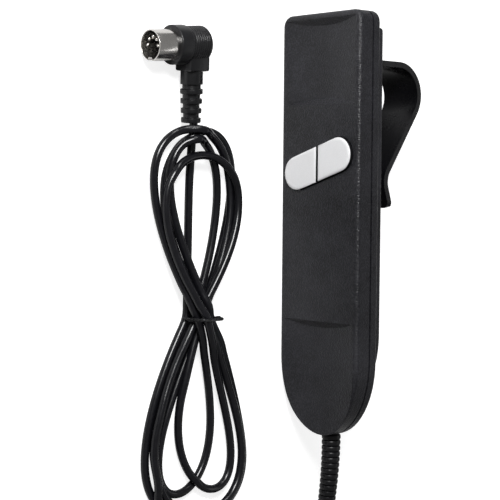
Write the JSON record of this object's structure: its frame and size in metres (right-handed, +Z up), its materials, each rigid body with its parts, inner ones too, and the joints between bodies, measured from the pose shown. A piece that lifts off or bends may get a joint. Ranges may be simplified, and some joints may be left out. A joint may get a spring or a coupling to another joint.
{
  "type": "corded hand control",
  "caption": "Slim corded hand control with a pair of spring buttons, a hook clip on its back, a bundled cord and a right-angle round plug.",
  "frame": {"origin": "centre of the base of the case lying on its left side, without the cord", "axes": "+X along the case towards the cord, +Y from the button face to the clip, +Z up from the case's left side to its right side"},
  "size_m": [0.2698, 0.1405, 0.049],
  "materials": {
    "case_black": "fine grain, low sheen",
    "button_grey": "satin",
    "inner_plastic": "matt",
    "steel": "bright",
    "board_green": "lacquered",
    "header_ivory": "matt",
    "wire_coat": "satin",
    "clip_black": "semi-gloss",
    "cord_black": "satin",
    "plug_black": "satin",
    "plug_nickel": "bright nickel"
  },
  "bodies": {
    "case": {"front_shell": "case_black", "rear_shell": "case_black", "button_guide": "inner_plastic", "spring_left": "steel", "spring_right": "steel", "switch_left": "inner_plastic", "switch_right": "inner_plastic", "circuit_board": "board_green", "board_screws": "steel", "terminal_header": "header_ivory", "board_parts": "inner_plastic", "inner_wires": "wire_coat", "cord_inner": "cord_black", "cord_clamp": "inner_plastic", "clamp_screws": "steel", "case_screws": "steel", "hook_clip": "clip_black", "clip_screws": "steel", "cord_sleeve": "cord_black", "cord_lead": "cord_black", "cord_bundle": "cord_black", "cord_tail": "cord_black", "cord_tie": "cord_black", "plug_body": "plug_black", "plug_collar": "plug_black", "plug_shell": "plug_nickel", "plug_insert": "inner_plastic", "plug_pins": "steel", "plug_relief": "cord_black"},
    "button_left": {"button_left": "button_grey", "plunger_left": "inner_plastic"},
    "button_right": {"button_right": "button_grey", "plunger_right": "inner_plastic"}
  },
  "joints": [
    {"name": "left_press", "type": "slide", "parent": "case", "child": "button_left", "axis": [0, 1, 0], "range_m": [0, 0.001], "stiffness_N_per_m": 900, "springref_m": -0.0008, "deforming": ["spring_left"]},
    {"name": "right_press", "type": "slide", "parent": "case", "child": "button_right", "axis": [0, 1, 0], "range_m": [0, 0.001], "stiffness_N_per_m": 900, "springref_m": -0.0008, "deforming": ["spring_right"]}
  ]
}
